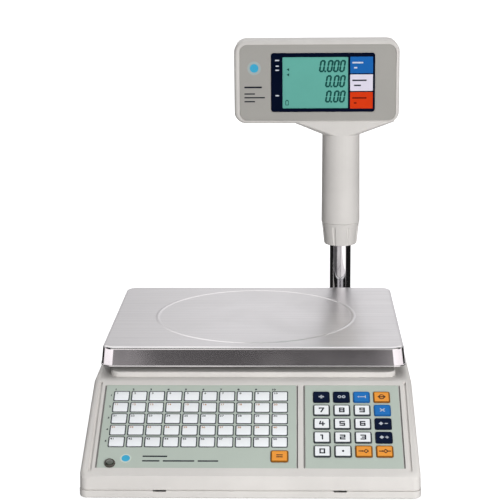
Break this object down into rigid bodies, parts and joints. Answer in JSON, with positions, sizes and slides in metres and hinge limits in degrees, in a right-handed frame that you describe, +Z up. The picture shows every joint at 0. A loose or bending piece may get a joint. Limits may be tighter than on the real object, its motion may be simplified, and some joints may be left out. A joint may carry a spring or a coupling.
{
  "type": "price computing scale",
  "caption": "Countertop weighing scale with a square steel pan, a sloped keypad panel, and a display head that slides and swivels on a chrome pole.",
  "frame": {"origin": "middle of the footprint, on the surface that the feet stand on", "axes": "+Z up, +X to the right seen from the keypad, -Y towards the person at the keypad"},
  "size_m": [0.37, 0.4906, 0.4605],
  "materials": {
    "cover_plastic": "warm off-white moulded plastic, fine grain",
    "overlay_film": "pale grey-green printed film",
    "key_white": "white keycap",
    "key_navy": "dark navy keycap",
    "key_blue": "blue keycap",
    "key_orange": "orange keycap",
    "brushed_steel": "brushed stainless steel",
    "chrome": "bright chrome plate",
    "cast_aluminium": "cast and machined aluminium",
    "steel": "plated steel",
    "rubber": "black rubber",
    "silicone": "grey silicone rubber",
    "board_green": "green solder mask",
    "black_plastic": "black moulded plastic",
    "battery_grey": "grey battery case",
    "fascia_grey": "warm grey printed plate",
    "window_navy": "clear lens with a dark navy printed border",
    "lcd_glass": "reflective teal liquid crystal glass",
    "vial_glass": "dark level vial"
  },
  "bodies": {
    "base": {"bottom_cover": "cover_plastic", "top_cover": "cover_plastic", "preset_overlay": "overlay_film", "numeric_overlay": "overlay_film", "key_mat": "silicone", "keypad_board": "board_green", "level_vial": "vial_glass", "level_bezel": "black_plastic", "load_cell": "cast_aluminium", "load_cell_pedestal": "cast_aluminium", "main_board": "board_green", "transformer": "steel", "battery": "battery_grey", "power_inlet": "black_plastic", "switch_housing": "black_plastic", "serial_port": "steel", "pole_bracket": "cover_plastic", "pole_screw": "steel", "pole_tube": "chrome"},
    "platform": {"platform_spider": "cast_aluminium", "load_riser": "cast_aluminium", "platter_pad_front_left": "rubber", "platter_pad_front_right": "rubber", "platter_pad_rear_left": "rubber", "platter_pad_rear_right": "rubber"},
    "pan": {"platter": "brushed_steel"},
    "rocker": {"switch_rocker": "black_plastic"},
    "mast": {"pole_bush": "black_plastic"},
    "collar": {"lock_collar": "cover_plastic"},
    "head": {"head_front_shell": "cover_plastic", "head_rear_shell": "cover_plastic", "head_fascia": "fascia_grey", "display_window": "window_navy", "lcd_panel": "lcd_glass", "display_board": "board_green"},
    "foot_front_left": {"foot_front_left": "rubber"},
    "foot_front_right": {"foot_front_right": "rubber"},
    "foot_rear_left": {"foot_rear_left": "rubber"},
    "foot_rear_right": {"foot_rear_right": "rubber"},
    "key_plus": {"key_plus": "key_navy"},
    "key_change": {"key_change": "key_navy"},
    "key_recall": {"key_recall": "key_blue"},
    "key_mode": {"key_mode": "key_orange"},
    "key_7": {"key_7": "key_white"},
    "key_8": {"key_8": "key_white"},
    "key_9": {"key_9": "key_white"},
    "key_clear": {"key_clear": "key_blue"},
    "key_4": {"key_4": "key_white"},
    "key_5": {"key_5": "key_white"},
    "key_6": {"key_6": "key_white"},
    "key_memory_clear": {"key_memory_clear": "key_navy"},
    "key_1": {"key_1": "key_white"},
    "key_2": {"key_2": "key_white"},
    "key_3": {"key_3": "key_white"},
    "key_memory_add": {"key_memory_add": "key_navy"},
    "key_0": {"key_0": "key_white"},
    "key_point": {"key_point": "key_white"},
    "key_tare": {"key_tare": "key_orange"},
    "key_zero": {"key_zero": "key_orange"},
    "key_set": {"key_set": "key_orange"}
  },
  "joints": [
    {"name": "platform_deflection", "type": "slide", "parent": "base", "child": "platform", "axis": [0, 0, -1], "range_m": [0, 0.0004], "stiffness_N_per_m": 200000, "springref_m": -0.0003},
    {"name": "pan_lift", "type": "slide", "parent": "platform", "child": "pan", "axis": [0, 0, 1], "range_m": [0, 0.05]},
    {"name": "switch_rock", "type": "hinge", "parent": "base", "child": "rocker", "pos_m": [-0.0825, 0.1905, 0.045], "axis": [-1, 0, 0], "range_deg": [0, 16]},
    {"name": "mast_height", "type": "slide", "parent": "base", "child": "mast", "axis": [0, 0, 1], "range_m": [-0.04, 0.06]},
    {"name": "collar_turn", "type": "hinge", "parent": "mast", "child": "collar", "pos_m": [0.11, 0.2195, 0.2], "axis": [0, 0, 1], "range_deg": [0, 120]},
    {"name": "head_swivel", "type": "hinge", "parent": "mast", "child": "head", "pos_m": [0.11, 0.2195, 0.3], "axis": [0, 0, 1], "range_deg": [-165, 165]},
    {"name": "foot_front_left_turn", "type": "hinge", "parent": "base", "child": "foot_front_left", "pos_m": [-0.15, -0.2105, 0.01], "axis": [0, 0, 1], "continuous": true},
    {"name": "foot_front_right_turn", "type": "hinge", "parent": "base", "child": "foot_front_right", "pos_m": [0.15, -0.2105, 0.01], "axis": [0, 0, 1], "continuous": true},
    {"name": "foot_rear_left_turn", "type": "hinge", "parent": "base", "child": "foot_rear_left", "pos_m": [-0.15, 0.1565, 0.01], "axis": [0, 0, 1], "continuous": true},
    {"name": "foot_rear_right_turn", "type": "hinge", "parent": "base", "child": "foot_rear_right", "pos_m": [0.15, 0.1565, 0.01], "axis": [0, 0, 1], "continuous": true},
    {"name": "key_plus_press", "type": "slide", "parent": "base", "child": "key_plus", "axis": [0, 0.4695, -0.8829], "range_m": [0, 0.0008], "stiffness_N_per_m": 1200, "springref_m": -0.0004},
    {"name": "key_change_press", "type": "slide", "parent": "base", "child": "key_change", "axis": [0, 0.4695, -0.8829], "range_m": [0, 0.0008], "stiffness_N_per_m": 1200, "springref_m": -0.0004},
    {"name": "key_recall_press", "type": "slide", "parent": "base", "child": "key_recall", "axis": [0, 0.4695, -0.8829], "range_m": [0, 0.0008], "stiffness_N_per_m": 1200, "springref_m": -0.0004},
    {"name": "key_mode_press", "type": "slide", "parent": "base", "child": "key_mode", "axis": [0, 0.4695, -0.8829], "range_m": [0, 0.0008], "stiffness_N_per_m": 1200, "springref_m": -0.0004},
    {"name": "key_7_press", "type": "slide", "parent": "base", "child": "key_7", "axis": [0, 0.4695, -0.8829], "range_m": [0, 0.0008], "stiffness_N_per_m": 1200, "springref_m": -0.0004},
    {"name": "key_8_press", "type": "slide", "parent": "base", "child": "key_8", "axis": [0, 0.4695, -0.8829], "range_m": [0, 0.0008], "stiffness_N_per_m": 1200, "springref_m": -0.0004},
    {"name": "key_9_press", "type": "slide", "parent": "base", "child": "key_9", "axis": [0, 0.4695, -0.8829], "range_m": [0, 0.0008], "stiffness_N_per_m": 1200, "springref_m": -0.0004},
    {"name": "key_clear_press", "type": "slide", "parent": "base", "child": "key_clear", "axis": [0, 0.4695, -0.8829], "range_m": [0, 0.0008], "stiffness_N_per_m": 1200, "springref_m": -0.0004},
    {"name": "key_4_press", "type": "slide", "parent": "base", "child": "key_4", "axis": [0, 0.4695, -0.8829], "range_m": [0, 0.0008], "stiffness_N_per_m": 1200, "springref_m": -0.0004},
    {"name": "key_5_press", "type": "slide", "parent": "base", "child": "key_5", "axis": [0, 0.4695, -0.8829], "range_m": [0, 0.0008], "stiffness_N_per_m": 1200, "springref_m": -0.0004},
    {"name": "key_6_press", "type": "slide", "parent": "base", "child": "key_6", "axis": [0, 0.4695, -0.8829], "range_m": [0, 0.0008], "stiffness_N_per_m": 1200, "springref_m": -0.0004},
    {"name": "key_memory_clear_press", "type": "slide", "parent": "base", "child": "key_memory_clear", "axis": [0, 0.4695, -0.8829], "range_m": [0, 0.0008], "stiffness_N_per_m": 1200, "springref_m": -0.0004},
    {"name": "key_1_press", "type": "slide", "parent": "base", "child": "key_1", "axis": [0, 0.4695, -0.8829], "range_m": [0, 0.0008], "stiffness_N_per_m": 1200, "springref_m": -0.0004},
    {"name": "key_2_press", "type": "slide", "parent": "base", "child": "key_2", "axis": [0, 0.4695, -0.8829], "range_m": [0, 0.0008], "stiffness_N_per_m": 1200, "springref_m": -0.0004},
    {"name": "key_3_press", "type": "slide", "parent": "base", "child": "key_3", "axis": [0, 0.4695, -0.8829], "range_m": [0, 0.0008], "stiffness_N_per_m": 1200, "springref_m": -0.0004},
    {"name": "key_memory_add_press", "type": "slide", "parent": "base", "child": "key_memory_add", "axis": [0, 0.4695, -0.8829], "range_m": [0, 0.0008], "stiffness_N_per_m": 1200, "springref_m": -0.0004},
    {"name": "key_0_press", "type": "slide", "parent": "base", "child": "key_0", "axis": [0, 0.4695, -0.8829], "range_m": [0, 0.0008], "stiffness_N_per_m": 1200, "springref_m": -0.0004},
    {"name": "key_point_press", "type": "slide", "parent": "base", "child": "key_point", "axis": [0, 0.4695, -0.8829], "range_m": [0, 0.0008], "stiffness_N_per_m": 1200, "springref_m": -0.0004},
    {"name": "key_tare_press", "type": "slide", "parent": "base", "child": "key_tare", "axis": [0, 0.4695, -0.8829], "range_m": [0, 0.0008], "stiffness_N_per_m": 1200, "springref_m": -0.0004},
    {"name": "key_zero_press", "type": "slide", "parent": "base", "child": "key_zero", "axis": [0, 0.4695, -0.8829], "range_m": [0, 0.0008], "stiffness_N_per_m": 1200, "springref_m": -0.0004},
    {"name": "key_set_press", "type": "slide", "parent": "base", "child": "key_set", "axis": [0, 0.4695, -0.8829], "range_m": [0, 0.0008], "stiffness_N_per_m": 1200, "springref_m": -0.0004}
  ]
}
